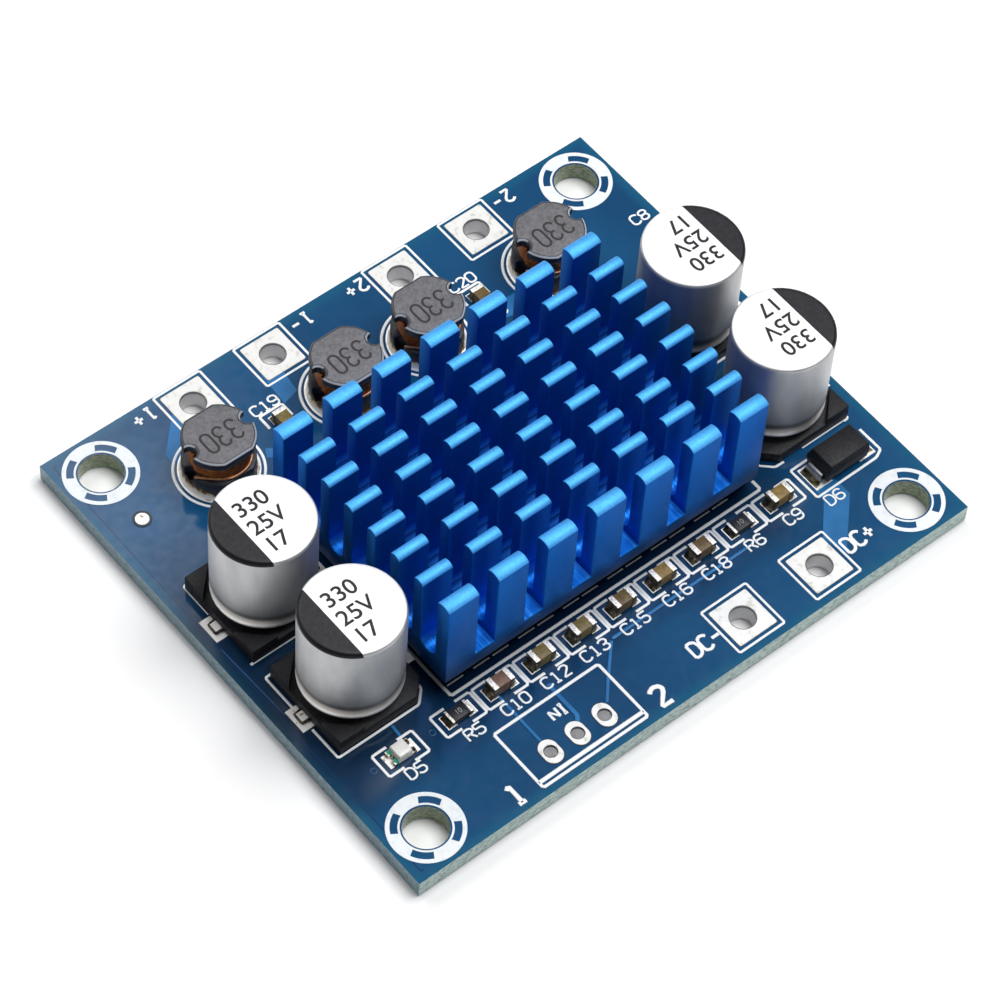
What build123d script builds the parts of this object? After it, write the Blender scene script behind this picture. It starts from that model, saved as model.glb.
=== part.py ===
from build123d import *

import os

os.makedirs("parts", exist_ok=True)

# Audio amplifier board, in millimetres.
# The origin is the middle of the board's underside. +X runs along the long edge,
# +Y from the edge with the input and power holes to the edge with the speaker pads,
# and +Z up through the parts.

# Circuit board
board_length = 53.0
board_width = 45.5
board_thickness = 1.6
mount_hole_diameter = 3.5
mount_hole_inset_x = 3.25
mount_hole_inset_y = 3.3

# Plated holes for wires
plating = 0.1
pad_sink = 0.05
pad_proud = 0.03
wire_pad_side = 3.7
wire_hole_diameter = 2.0
wire_pad_pitch = 7.62
speaker_pads_from_edge = 2.3
speaker_pairs_apart = 20.13
power_pads_from_edge = 2.9
power_pair_x = 10.2

# Plated holes for the input header
input_pitch = 2.54
input_hole_diameter = 1.0
input_pad_width = 1.65
input_pad_length = 2.25
input_middle_x = -9.67
input_pads_from_edge = 2.71

# Tinned lands under the soldered parts
land_thickness = 0.05
fiducial_diameter = 1.2
fiducial_from_side = 3.2
fiducial_from_edge = 8.55

# Finned heatsink
heatsink_length = 30.2
heatsink_width = 20.4
heatsink_height = 9.35
heatsink_x = -0.05
heatsink_y = -1.3
fin_rows = 8
fin_columns = 7
fin_thickness = 1.0
outer_fin_thickness = 1.3
fin_crown = 0.28
saw_cut_width = 1.8
saw_cut_floor = 1.65
channel_floor = 1.95

# Amplifier chip and the adhesive between it and the heatsink
chip_length = 9.7
chip_width = 4.4
chip_height = 1.0
chip_standoff = 0.1
chip_parting_band = 0.24
chip_draft = 8
chip_leads_per_side = 14
chip_lead_pitch = 0.65
chip_lead_width = 0.24
chip_lead_thickness = 0.15
chip_lead_span = 6.4
chip_lead_foot = 0.6
chip_land_length = 1.1
chip_land_width = 0.34
adhesive_thickness = 0.2
adhesive_margin = 0.15

# Electrolytic capacitors. The last values are how far the middle of each one is
# from its side edge of the board, and its place along that edge.
can_diameter = 8.0
can_height = 8.6
can_top_radius = 0.35
can_bottom_radius = 0.45
can_groove_height = 1.15
can_groove_radius = 0.5
can_groove_depth = 0.22
base_side = 8.3
base_plate_thickness = 0.95
base_corner_chamfer = 1.3
pedestal_diameter = 7.3
pedestal_height = 0.6
corner_post_leg = 2.3
corner_post_height = 0.55
can_terminal_width = 0.8
can_terminal_thickness = 0.2
can_terminal_reach = 0.55
can_terminal_gap = 2.4
can_land_width = 2.2
can_land_reach = 1.0
can_land_inner = 2.4
can_1_from_side = 6.1
can_1_along = 3.15
can_2_from_side = 6.35
can_2_along = -6.8
can_3_from_side = 6.0
can_3_along = 3.3
can_4_from_side = 5.8
can_4_along = -6.82

# Drum inductors
drum_diameter = 5.7
drum_across_flats = 5.1
drum_height = 4.38
drum_top_flange = 1.05
drum_bottom_flange = 1.8
drum_post_diameter = 2.8
drum_notch_width = 1.15
drum_notch_depth = 0.7
drum_edge_chamfer = 0.12
winding_diameter = 4.7
winding_turns = 6
winding_turn_bulge = 0.1
drum_land_diameter = 6.36
drum_land_gap = 1.7
drum_land_thickness = 0.12
drums_from_edge = 8.4
outer_drums_x = 16.02
inner_drums_x = 3.97

# Small chip parts in 0805 cases
small_chip_length = 1.9
small_chip_width = 1.15
small_chip_cap_length = 0.42
small_chip_cap_proud = 0.04
chip_capacitor_height = 1.15
chip_resistor_height = 0.5
small_land_length = 0.8
small_land_width = 1.25
small_land_reach = 1.36
front_row_from_edge = 9.2
front_row_pitch = 3.88
front_row_count = 9
resistor_slots = (0, 7)
rear_chips_from_edge = 8.25
rear_chips_x = 9.65

# Indicator lamp, at the left end of the front row
lamp_from_side = 5.65
lamp_length = 2.0
lamp_width = 1.3
lamp_base_height = 0.3
lamp_lens_length = 1.25
lamp_lens_height = 0.5
lamp_lens_draft = 6
lamp_terminal_length = 0.35
lamp_terminal_notch = 0.22

# Protection diode, at the right end of the front row
diode_from_side = 5.1
diode_length = 4.2
diode_width = 2.5
diode_height = 2.0
diode_standoff = 0.1
diode_draft = 7
diode_parting_band = 0.3
diode_lead_width = 1.5
diode_lead_thickness = 0.2
diode_lead_reach = 0.4
diode_lead_foot = 1.1
diode_lead_bend = 0.15
diode_land_length = 1.6
diode_land_width = 2.3
diode_land_reach = 3.0

# Heights that the sizes above settle
board_top = board_thickness
land_top = board_top + land_thickness
chip_bottom = board_top + chip_standoff
chip_top = chip_bottom + chip_height
heatsink_bottom = chip_top + adhesive_thickness

# Places that the board's edges settle
left_edge = -board_length / 2
right_edge = board_length / 2
front_edge = -board_width / 2
back_edge = board_width / 2
heatsink_middle = (heatsink_x, heatsink_y)
front_row_y = front_edge + front_row_from_edge
drum_row_y = back_edge - drums_from_edge
rear_chip_y = back_edge - rear_chips_from_edge
fiducial_place = (left_edge + fiducial_from_side, back_edge - fiducial_from_edge)
lamp_place = (left_edge + lamp_from_side, front_row_y)
diode_place = (right_edge - diode_from_side, front_row_y)
drum_places_x = (-outer_drums_x, -inner_drums_x, inner_drums_x, outer_drums_x)
rear_chip_places = [(-rear_chips_x, rear_chip_y), (rear_chips_x, rear_chip_y)]
can_places = [
    (left_edge + can_1_from_side, can_1_along, 0),
    (left_edge + can_2_from_side, can_2_along, 0),
    (right_edge - can_3_from_side, can_3_along, 180),
    (right_edge - can_4_from_side, can_4_along, 180),
]


def save(block, name):
    block.part.label = name
    export_step(block.part, f"parts/{name}.step")


# Places of the holes through the board
hole_spacing_x = board_length - 2 * mount_hole_inset_x
hole_spacing_y = board_width - 2 * mount_hole_inset_y
speaker_row_y = back_edge - speaker_pads_from_edge
power_row_y = front_edge + power_pads_from_edge
input_row_y = front_edge + input_pads_from_edge
speaker_places = [
    (pair * speaker_pairs_apart / 2 + side * wire_pad_pitch / 2, speaker_row_y)
    for pair in (-1, 1)
    for side in (-1, 1)
]
power_places = [(power_pair_x + side * wire_pad_pitch / 2, power_row_y) for side in (-1, 1)]
input_places = [(input_middle_x + step * input_pitch, input_row_y) for step in (-1, 0, 1)]
wire_places = speaker_places + power_places
wire_barrel_radius = wire_hole_diameter / 2 + plating
input_barrel_radius = input_hole_diameter / 2 + plating


# The board: glass-fibre laminate with its holes drilled, and a shallow window
# in the solder mask on both sides round each plated hole
with BuildPart() as printed_circuit_board:
    with BuildSketch():
        Rectangle(board_length, board_width)
        with GridLocations(hole_spacing_x, hole_spacing_y, 2, 2):
            Circle(mount_hole_diameter / 2, mode=Mode.SUBTRACT)
        with Locations(*wire_places):
            Circle(wire_barrel_radius, mode=Mode.SUBTRACT)
        with Locations(*input_places):
            Circle(input_barrel_radius, mode=Mode.SUBTRACT)
    extrude(amount=board_thickness)
    for window_floor in (board_top - pad_sink, 0):
        with BuildSketch(Plane.XY.offset(window_floor)):
            with Locations(*wire_places):
                Rectangle(wire_pad_side, wire_pad_side)
            with Locations(*input_places):
                SlotOverall(input_pad_length, input_pad_width, rotation=90)
        extrude(amount=pad_sink, mode=Mode.SUBTRACT)
save(printed_circuit_board, "printed_circuit_board")


# Plated holes: a tinned pad on each side, joined by the barrel through the board
def plated_hole(name, place, outline, hole_radius):
    with BuildPart() as pad:
        for bottom, thickness in ((board_top - pad_sink, pad_sink + pad_proud), (0, pad_sink)):
            with BuildSketch(Plane.XY.offset(bottom)):
                with Locations(place):
                    add(outline)
            extrude(amount=thickness)
        with BuildSketch():
            with Locations(place):
                Circle(hole_radius + plating)
        extrude(amount=board_thickness)
        with BuildSketch():
            with Locations(place):
                Circle(hole_radius)
        extrude(amount=board_thickness + pad_proud, mode=Mode.SUBTRACT)
    save(pad, name)


with BuildSketch() as wire_pad:
    Rectangle(wire_pad_side, wire_pad_side)

with BuildSketch() as input_pad:
    SlotOverall(input_pad_length, input_pad_width, rotation=90)

for number, place in enumerate(speaker_places, start=1):
    plated_hole(f"output_pad_{number}", place, wire_pad.sketch, wire_hole_diameter / 2)
for number, place in enumerate(power_places, start=1):
    plated_hole(f"power_pad_{number}", place, wire_pad.sketch, wire_hole_diameter / 2)
for number, place in enumerate(input_places, start=1):
    plated_hole(f"input_pad_{number}", place, input_pad.sketch, input_hole_diameter / 2)


# Heatsink: an extrusion with crowned fins and round-bottomed channels,
# sawn across into posts. Its two outer fins are thicker and flush with its sides.
channel_width = (
    heatsink_width - 2 * outer_fin_thickness - (fin_rows - 2) * fin_thickness
) / (fin_rows - 1)
channel_pitch = channel_width + fin_thickness
first_channel = outer_fin_thickness + channel_width / 2 - heatsink_width / 2
fin_foot = channel_floor + channel_width / 2
shoulder = heatsink_height - fin_crown
fin_length = (heatsink_length - (fin_columns - 1) * saw_cut_width) / fin_columns
fin_spans = (
    [(-heatsink_width / 2, -heatsink_width / 2 + outer_fin_thickness)]
    + [
        (first_channel + gap * channel_pitch - channel_pitch / 2 - fin_thickness / 2,
         first_channel + gap * channel_pitch - channel_pitch / 2 + fin_thickness / 2)
        for gap in range(1, fin_rows - 1)
    ]
    + [(heatsink_width / 2 - outer_fin_thickness, heatsink_width / 2)]
)
section_plane = Plane(
    origin=(heatsink_middle[0] - heatsink_length / 2, heatsink_middle[1], heatsink_bottom),
    x_dir=(0, 1, 0),
    z_dir=(1, 0, 0),
)
saw_plane = Plane((*heatsink_middle, heatsink_bottom + saw_cut_floor))

with BuildPart() as heatsink:
    with BuildSketch(section_plane):
        Rectangle(heatsink_width, fin_foot, align=(Align.CENTER, Align.MIN))
        with Locations(
            *[(first_channel + gap * channel_pitch, fin_foot) for gap in range(fin_rows - 1)]
        ):
            Circle(channel_width / 2, mode=Mode.SUBTRACT)
        for inner, outer in fin_spans:
            with BuildLine():
                Polyline((inner, shoulder), (inner, fin_foot), (outer, fin_foot), (outer, shoulder))
                ThreePointArc(
                    (outer, shoulder), ((inner + outer) / 2, heatsink_height), (inner, shoulder)
                )
            make_face()
    extrude(amount=heatsink_length)
    with BuildSketch(saw_plane):
        with GridLocations(fin_length + saw_cut_width, 0, fin_columns - 1, 1):
            Rectangle(saw_cut_width, heatsink_width)
    extrude(amount=heatsink_height, mode=Mode.SUBTRACT)
save(heatsink, "heatsink")


# Adhesive pad between the chip and the heatsink
with BuildPart() as thermal_adhesive:
    with BuildSketch(Plane((*heatsink_middle, chip_top))):
        Rectangle(chip_length - 2 * adhesive_margin, chip_width - 2 * adhesive_margin)
    extrude(amount=adhesive_thickness)
save(thermal_adhesive, "thermal_adhesive")


# Amplifier chip: a moulded body in two drafted halves, with gull-wing leads
chip_half = (chip_height - chip_parting_band) / 2
parting_plane = Plane((*heatsink_middle, chip_bottom + chip_height / 2))

with BuildPart() as amplifier_chip_body:
    with BuildSketch(parting_plane):
        Rectangle(chip_length, chip_width)
    extrude(amount=chip_parting_band / 2, both=True)
    for face in (
        amplifier_chip_body.faces().sort_by(Axis.Z)[-1],
        amplifier_chip_body.faces().sort_by(Axis.Z)[0],
    ):
        extrude(face, amount=chip_half, taper=chip_draft)
save(amplifier_chip_body, "amplifier_chip_body")

lead_out = chip_lead_span / 2
lead_knee = lead_out - chip_lead_foot
lead_middle = parting_plane.origin.Z
lead_rest = land_top + chip_lead_thickness / 2
with BuildPart() as chip_lead:
    with BuildSketch(Plane.YZ.offset(-chip_lead_width / 2)):
        with BuildLine():
            Polyline(
                (chip_width / 2, lead_middle),
                (lead_knee, lead_middle),
                (lead_knee, lead_rest),
                (lead_out, lead_rest),
            )
        trace(line_width=chip_lead_thickness)
    extrude(amount=chip_lead_width)

with BuildPart() as amplifier_chip_leads:
    with Locations((*heatsink_middle, 0)):
        with GridLocations(chip_lead_pitch, 0, chip_leads_per_side, 1):
            add(chip_lead.part)
            add(chip_lead.part, rotation=(0, 0, 180))
save(amplifier_chip_leads, "amplifier_chip_leads")


# Electrolytic capacitors. Each stands on a moulded base with two chamfered
# corners, two raised corner posts and a pedestal for the can.
base_top = land_top + base_plate_thickness
can_bottom = base_top + pedestal_height
can_radius = can_diameter / 2
groove_middle = can_bottom + can_groove_height

with BuildPart() as capacitor_base:
    with BuildSketch(Plane.XY.offset(land_top)) as plate_outline:
        Rectangle(base_side, base_side)
        chamfer(plate_outline.vertices().group_by(Axis.X)[-1], base_corner_chamfer)
    extrude(amount=base_plate_thickness)
    with BuildSketch(Plane.XY.offset(base_top)):
        Circle(pedestal_diameter / 2)
    extrude(amount=pedestal_height)
    with BuildSketch(Plane.XY.offset(base_top)):
        for side in (-1, 1):
            corner = (-base_side / 2, side * base_side / 2)
            with BuildLine():
                Polyline(
                    corner,
                    (corner[0] + corner_post_leg, corner[1]),
                    (corner[0], corner[1] - side * corner_post_leg),
                    close=True,
                )
            make_face()
    extrude(amount=corner_post_height)
    with BuildSketch(Plane.XY.offset(land_top)):
        with GridLocations(can_terminal_gap + base_side, 0, 2, 1):
            Rectangle(base_side, can_terminal_width)
    extrude(amount=can_terminal_thickness, mode=Mode.SUBTRACT)

with BuildPart() as capacitor_can:
    with BuildSketch(Plane.XZ):
        with BuildLine() as can_outline:
            groove_reach = (can_groove_radius**2 - (can_groove_radius - can_groove_depth)**2) ** 0.5
            Polyline(
                (can_radius, groove_middle - groove_reach),
                (can_radius, can_bottom),
                (0, can_bottom),
                (0, can_bottom + can_height),
                (can_radius, can_bottom + can_height),
                (can_radius, groove_middle + groove_reach),
            )
            ThreePointArc(
                (can_radius, groove_middle + groove_reach),
                (can_radius - can_groove_depth, groove_middle),
                (can_radius, groove_middle - groove_reach),
            )
        can_face = make_face()
        rim = can_face.vertices().filter_by(lambda corner: corner.X > can_radius - 0.01)
        fillet(rim.sort_by(Axis.Z)[-1], can_top_radius)
        fillet(rim.sort_by(Axis.Z)[0], can_bottom_radius)
    revolve(axis=Axis.Z)

with BuildPart() as capacitor_terminals:
    terminal_length = (base_side - can_terminal_gap) / 2 + can_terminal_reach
    with BuildSketch(Plane.XY.offset(land_top)):
        with GridLocations(can_terminal_gap + terminal_length, 0, 2, 1):
            Rectangle(terminal_length, can_terminal_width)
    extrude(amount=can_terminal_thickness)

for number, (x, y, turn) in enumerate(can_places, start=1):
    for model, name in (
        (capacitor_base, "capacitor_base"),
        (capacitor_can, "capacitor_can"),
        (capacitor_terminals, "capacitor_terminals"),
    ):
        with BuildPart() as placed:
            with Locations((x, y, 0)):
                add(model.part, rotation=(0, 0, turn))
        save(placed, f"{name}_{number}")


# Inductors: a ferrite drum with two flats and two notches for the wire ends,
# a copper winding in its waist, and a tinned crescent under each side
drum_bottom = board_top + drum_land_thickness
drum_top = drum_bottom + drum_height
waist_bottom = drum_bottom + drum_bottom_flange
waist_top = drum_top - drum_top_flange
notch_radius = drum_notch_width / 2

with BuildSketch() as drum_outline:
    Circle(drum_diameter / 2)
    Rectangle(drum_diameter, drum_across_flats, mode=Mode.INTERSECT)

notch_middle = drum_diameter / 2 - drum_notch_depth + notch_radius
with BuildSketch() as drum_notches:
    with GridLocations(2 * notch_middle, 0, 2, 1):
        Circle(notch_radius)
    with GridLocations(2 * notch_middle + drum_notch_depth, 0, 2, 1):
        Rectangle(drum_notch_depth, drum_notch_width)

with BuildPart() as inductor_core:
    for bottom, thickness in ((drum_bottom, drum_bottom_flange), (waist_top, drum_top_flange)):
        with BuildSketch(Plane.XY.offset(bottom)):
            add(drum_outline.sketch)
        extrude(amount=thickness)
    chamfer(inductor_core.edges().group_by(Axis.Z)[-1], drum_edge_chamfer)
    with BuildSketch(Plane.XY.offset(drum_bottom)):
        add(drum_notches.sketch)
    extrude(amount=drum_height, mode=Mode.SUBTRACT)
    with BuildSketch(Plane.XY.offset(drum_top)):
        add(drum_notches.sketch)
        offset(amount=drum_edge_chamfer)
    extrude(amount=-drum_edge_chamfer, taper=45, mode=Mode.SUBTRACT)
    with BuildSketch(Plane.XY.offset(waist_bottom)):
        Circle(drum_post_diameter / 2)
    extrude(amount=waist_top - waist_bottom)

with BuildPart() as inductor_winding:
    turn_pitch = (waist_top - waist_bottom) / winding_turns
    turn_root = winding_diameter / 2 - winding_turn_bulge
    with BuildSketch(Plane.XZ):
        with BuildLine():
            Polyline(
                (turn_root, waist_top),
                (drum_post_diameter / 2, waist_top),
                (drum_post_diameter / 2, waist_bottom),
                (turn_root, waist_bottom),
            )
            for turn in range(winding_turns):
                Polyline(
                    (turn_root, waist_bottom + turn * turn_pitch),
                    (winding_diameter / 2, waist_bottom + (turn + 0.5) * turn_pitch),
                    (turn_root, waist_bottom + (turn + 1) * turn_pitch),
                )
        make_face()
    revolve(axis=Axis.Z)

with BuildPart() as inductor_terminals:
    with BuildSketch(Plane.XY.offset(board_top)):
        Circle(drum_land_diameter / 2)
        Rectangle(drum_land_gap, drum_land_diameter, mode=Mode.SUBTRACT)
    extrude(amount=drum_land_thickness)

for number, x in enumerate(drum_places_x, start=1):
    for model, name in (
        (inductor_core, "inductor_core"),
        (inductor_winding, "inductor_winding"),
        (inductor_terminals, "inductor_terminals"),
    ):
        with BuildPart() as placed:
            with Locations((x, drum_row_y, 0)):
                add(model.part)
        save(placed, f"{name}_{number}")


# Small chips: a ceramic body between two plated end caps, fired as one piece
def chip_part(height):
    with BuildPart() as chip:
        with BuildSketch(Plane.XY.offset(land_top + small_chip_cap_proud)):
            Rectangle(small_chip_length, small_chip_width - 2 * small_chip_cap_proud)
        extrude(amount=height - 2 * small_chip_cap_proud)
        with BuildSketch(Plane.XY.offset(land_top)):
            with GridLocations(small_chip_length - small_chip_cap_length, 0, 2, 1):
                Rectangle(small_chip_cap_length, small_chip_width)
        extrude(amount=height)
    return chip.part


front_places = [
    ((slot - (front_row_count - 1) / 2) * front_row_pitch, front_row_y)
    for slot in range(front_row_count)
]
resistor_model = chip_part(chip_resistor_height)
capacitor_model = chip_part(chip_capacitor_height)
resistor_places = [(*front_places[slot], 0) for slot in resistor_slots]
ceramic_places = [
    (*place, 0) for slot, place in enumerate(front_places) if slot not in resistor_slots
] + [(*place, 90) for place in rear_chip_places]

for name, model, places in (
    ("chip_resistor", resistor_model, resistor_places),
    ("chip_capacitor", capacitor_model, ceramic_places),
):
    for number, (x, y, turn) in enumerate(places, start=1):
        with BuildPart() as placed:
            with Locations((x, y, 0)):
                add(model, rotation=(0, 0, turn))
        save(placed, f"{name}_{number}")


# Indicator lamp: a small laminate base with notched terminals and a clear lens
lamp_base_top = land_top + lamp_base_height
lamp_ends = lamp_length - lamp_terminal_length

with BuildPart() as lamp_base:
    with BuildSketch(Plane((*lamp_place, land_top))):
        Rectangle(lamp_length - 2 * lamp_terminal_length, lamp_width)
    extrude(amount=lamp_base_height)
save(lamp_base, "lamp_base")

with BuildPart() as lamp_lens:
    with BuildSketch(Plane((*lamp_place, lamp_base_top))):
        Rectangle(lamp_lens_length, lamp_width)
    extrude(amount=lamp_lens_height, taper=lamp_lens_draft)
save(lamp_lens, "lamp_lens")

with BuildPart() as lamp_terminals:
    with BuildSketch(Plane((*lamp_place, land_top))):
        with GridLocations(lamp_ends, 0, 2, 1):
            Rectangle(lamp_terminal_length, lamp_width)
        with GridLocations(lamp_length, 0, 2, 1):
            Circle(lamp_terminal_notch, mode=Mode.SUBTRACT)
    extrude(amount=lamp_base_height)
save(lamp_terminals, "lamp_terminals")


# Protection diode: a moulded body in two drafted halves, with leads that are
# bent down its ends and under it
diode_bottom = land_top + diode_standoff + diode_lead_thickness
diode_body_height = board_top + diode_height + diode_standoff - diode_bottom
diode_parting = Plane((*diode_place, diode_bottom + diode_body_height / 2))
diode_half = (diode_body_height - diode_parting_band) / 2

with BuildPart() as diode_body:
    with BuildSketch(diode_parting):
        Rectangle(diode_length, diode_width)
    extrude(amount=diode_parting_band / 2, both=True)
    for face in (
        diode_body.faces().sort_by(Axis.Z)[-1],
        diode_body.faces().sort_by(Axis.Z)[0],
    ):
        extrude(face, amount=diode_half, taper=diode_draft)
save(diode_body, "diode_body")

diode_lead_out = diode_length / 2 + diode_lead_reach - diode_lead_thickness / 2
diode_lead_rest = land_top + diode_lead_thickness / 2
with BuildPart() as diode_lead:
    with BuildSketch(Plane.XZ.offset(-diode_lead_width / 2)):
        with BuildLine():
            FilletPolyline(
                (diode_length / 2, diode_parting.origin.Z),
                (diode_lead_out, diode_parting.origin.Z),
                (diode_lead_out, diode_lead_rest),
                (diode_lead_out - diode_lead_foot, diode_lead_rest),
                radius=diode_lead_bend,
            )
        trace(line_width=diode_lead_thickness)
    extrude(amount=diode_lead_width)

with BuildPart() as diode_leads:
    with Locations((*diode_place, 0)):
        add(diode_lead.part)
        add(diode_lead.part, rotation=(0, 0, 180))
save(diode_leads, "diode_leads")


# Tinned lands on the board, one under each soldered end
can_land_outer = base_side / 2 + can_land_reach
can_land_length = can_land_outer - can_land_inner
with BuildPart() as solder_lands:
    with BuildSketch(Plane.XY.offset(board_top)):
        for x, y, turn in can_places:
            with Locations((x, y)):
                with GridLocations(can_land_outer + can_land_inner, 0, 2, 1):
                    Rectangle(can_land_length, can_land_width)
        for x, y, turn in resistor_places + ceramic_places + [(*lamp_place, 0)]:
            with Locations(Location((x, y, 0), (0, 0, turn))):
                with GridLocations(2 * small_land_reach - small_land_length, 0, 2, 1):
                    Rectangle(small_land_length, small_land_width)
        with Locations(diode_place):
            with GridLocations(2 * diode_land_reach - diode_land_length, 0, 2, 1):
                Rectangle(diode_land_length, diode_land_width)
        with Locations(heatsink_middle):
            with GridLocations(
                chip_lead_pitch, chip_lead_span - chip_lead_foot, chip_leads_per_side, 2
            ):
                Rectangle(chip_land_width, chip_land_length)
        with Locations(fiducial_place):
            Circle(fiducial_diameter / 2)
    extrude(amount=land_thickness)
save(solder_lands, "solder_lands")
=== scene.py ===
import math
import bmesh
import bpy
from mathutils import Matrix, Vector


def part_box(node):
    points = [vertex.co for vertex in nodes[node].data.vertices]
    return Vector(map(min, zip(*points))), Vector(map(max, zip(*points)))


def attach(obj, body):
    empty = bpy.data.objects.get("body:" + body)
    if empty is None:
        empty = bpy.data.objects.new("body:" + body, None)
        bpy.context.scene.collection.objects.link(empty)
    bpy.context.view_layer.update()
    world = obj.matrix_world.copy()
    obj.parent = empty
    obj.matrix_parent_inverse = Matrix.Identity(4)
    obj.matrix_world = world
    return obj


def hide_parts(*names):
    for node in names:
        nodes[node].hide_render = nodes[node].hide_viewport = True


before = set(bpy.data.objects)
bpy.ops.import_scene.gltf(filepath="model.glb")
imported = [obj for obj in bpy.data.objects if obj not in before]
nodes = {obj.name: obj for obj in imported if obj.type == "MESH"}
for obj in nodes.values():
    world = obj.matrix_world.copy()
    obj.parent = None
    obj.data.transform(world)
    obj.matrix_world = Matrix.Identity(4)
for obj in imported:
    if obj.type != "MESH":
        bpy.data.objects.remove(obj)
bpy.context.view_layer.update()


# The studio: the board lies on a plain white table, under one large soft light overhead to its
# right and a weaker one behind it, with a white room all round. The camera stands high over
# the board's front left corner, where the photograph was taken from.
def only(*pieces):
    """The next operators act on these pieces alone."""
    for other in bpy.context.selected_objects:
        other.select_set(False)
    for piece in pieces:
        piece.select_set(True)
        bpy.context.view_layer.objects.active = piece


def placed(name, data):
    """A new object in the scene for a mesh, a curve, a light or a camera."""
    thing = bpy.data.objects.new(name, data)
    bpy.context.collection.objects.link(thing)
    return thing


only()

lens = bpy.data.cameras.new("photograph")
lens.sensor_width = 36
lens.lens = 148.727
lens.clip_start = 0.01
camera = placed("photograph", lens)
look = Vector((0.39181, 0.41997, -0.8186)).normalized()
right = Vector((0.77223, -0.63378, 0.04446)).normalized()
stand = Matrix((right, right.cross(look), -look)).transposed().to_4x4()
stand.translation = Vector((-0.12244, -0.1308, 0.25515))
camera.matrix_world = stand
bpy.context.scene.camera = camera
bpy.context.scene.view_settings.view_transform = "Standard"

table_gap = 0.00014
bpy.ops.mesh.primitive_plane_add(size=6, location=(0, 0, -table_gap))
table = bpy.context.object
table.name = "white_table"
paper = bpy.data.materials.new("white_table")
paper.use_nodes = True
paper_sockets = paper.node_tree.nodes["Principled BSDF"].inputs
paper_sockets["Base Color"].default_value = (0.9, 0.9, 0.9, 1)
paper_sockets["Roughness"].default_value = 0.9
paper_sockets["Specular IOR Level"].default_value = 0.1
table.data.materials.append(paper)

room = bpy.data.worlds.new("white_room")
room.use_nodes = True
room_nodes, join = room.node_tree.nodes, room.node_tree.links.new
walls = room_nodes["Background"]
backdrop = room_nodes.new("ShaderNodeBackground")
backdrop.inputs["Color"].default_value = (1, 1, 1, 1)
height = room_nodes.new("ShaderNodeSeparateXYZ")
join(room_nodes.new("ShaderNodeTexCoord").outputs["Generated"], height.inputs["Vector"])
ceiling = room_nodes.new("ShaderNodeValToRGB")
levels = ceiling.color_ramp.elements
levels[0].color = (0.6, 0.6, 0.61, 1)
levels[1].position = 0.8
levels[1].color = (0.26, 0.26, 0.27, 1)
levels.new(0.28).color = (0.11, 0.11, 0.12, 1)
seen = room_nodes.new("ShaderNodeMixShader")
join(height.outputs["Z"], ceiling.inputs["Fac"])
join(ceiling.outputs["Color"], walls.inputs["Color"])
join(room_nodes.new("ShaderNodeLightPath").outputs["Is Camera Ray"], seen.inputs["Fac"])
join(walls.outputs["Background"], seen.inputs[1])
join(backdrop.outputs["Background"], seen.inputs[2])
join(seen.outputs["Shader"], room_nodes["World Output"].inputs["Surface"])
bpy.context.scene.world = room


def soft_light(name, place, long, wide, glow):
    """A flat diffuser, level over the board. White paper in sunlight has a glow of about 1."""
    panel = bpy.data.lights.new(name, "AREA")
    panel.shape = "RECTANGLE"
    panel.size = long
    panel.size_y = wide
    panel.energy = glow * math.pi * long * wide
    placed(name, panel).location = place


soft_light("overhead_panel", (0.2, -0.06, 0.5), 0.36, 0.36, 7.1)
soft_light("back_panel", (-0.075, 0.535, 0.5), 0.54, 0.53, 2.7)


# The circuit board: glass-fibre laminate 1.6 mm thick, sawn to size and drilled. Its faces carry a
# glossy blue solder mask over the copper, and its sawn edges and hole walls show the bare
# grey-green laminate.
class Field:
    """A number or colour that changes over a piece. Arithmetic on it adds the nodes for it."""

    def __init__(self, finish, socket):
        self.finish, self.socket = finish, socket

    def step(self, work, *others):
        node = self.finish.nodes.new("ShaderNodeMath")
        node.operation = work
        for socket, value in zip(node.inputs, (self, *others)):
            self.finish.feed(socket, value)
        return Field(self.finish, node.outputs["Value"])

    def __abs__(self):
        return self.step("ABSOLUTE")

    def __add__(self, other):
        return self.step("ADD", other)

    def __sub__(self, other):
        return self.step("SUBTRACT", other)

    def __rsub__(self, other):
        return self.step("MULTIPLY_ADD", -1.0, other)

    def __mul__(self, other):
        return self.step("MULTIPLY", other)

    def __gt__(self, other):
        return self.step("GREATER_THAN", other)

    def __lt__(self, other):
        return self.step("LESS_THAN", other)

    def least(self, other):
        return self.step("MINIMUM", other)

    def most(self, other):
        return self.step("MAXIMUM", other)

    def held(self):
        """The same, but never below 0 or above 1."""
        return self.least(1.0).most(0.0)


def paint_of(colour):
    """A colour from three numbers, or a grey from one."""
    return (*colour, 1) if isinstance(colour, tuple) else (colour, colour, colour, 1)


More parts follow.
